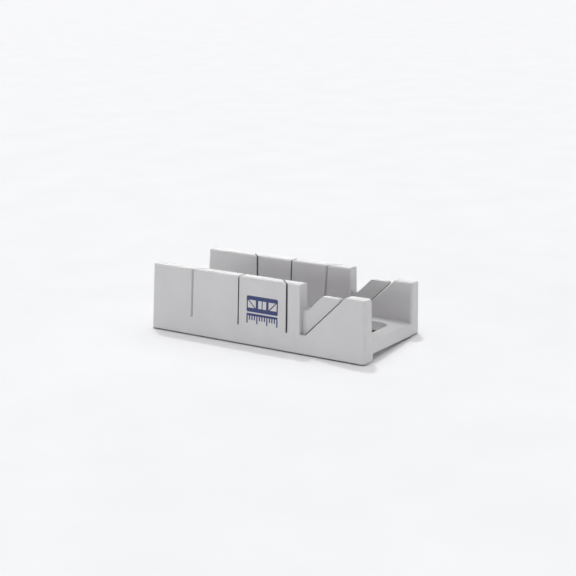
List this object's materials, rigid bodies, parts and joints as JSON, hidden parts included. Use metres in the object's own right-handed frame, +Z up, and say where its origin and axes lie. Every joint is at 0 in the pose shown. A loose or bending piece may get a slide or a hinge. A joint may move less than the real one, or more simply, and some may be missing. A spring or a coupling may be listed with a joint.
{
  "type": "miter box",
  "caption": "Plastic miter box: two slotted fences on a deck guide a hand saw at square, 45 degree miter and 45 degree bevel; a lip under the front fence hooks over a bench edge.",
  "frame": {"origin": "middle of the plane of the underside, on the middle rib under the deck", "axes": "+X runs along the box to the bevel end, +Y from the front fence to the rear fence, +Z up"},
  "size_m": [0.305, 0.1393, 0.0818],
  "materials": {
    "moulded_plastic": "satin, fine moulded grain",
    "blue_ink": "pad-printed ink"
  },
  "bodies": {
    "root": {"deck": "moulded_plastic", "bench_lip": "moulded_plastic", "front_rail": "moulded_plastic", "front_fence_block_1": "moulded_plastic", "front_fence_block_2": "moulded_plastic", "front_fence_block_3": "moulded_plastic", "front_fence_block_4": "moulded_plastic", "front_bevel_guide": "moulded_plastic", "front_end_block": "moulded_plastic", "rear_rail": "moulded_plastic", "rear_fence_block_1": "moulded_plastic", "rear_fence_block_2": "moulded_plastic", "rear_fence_block_3": "moulded_plastic", "rear_fence_block_4": "moulded_plastic", "rear_bevel_guide": "moulded_plastic", "rear_end_block": "moulded_plastic"}
  },
  "joints": []
}
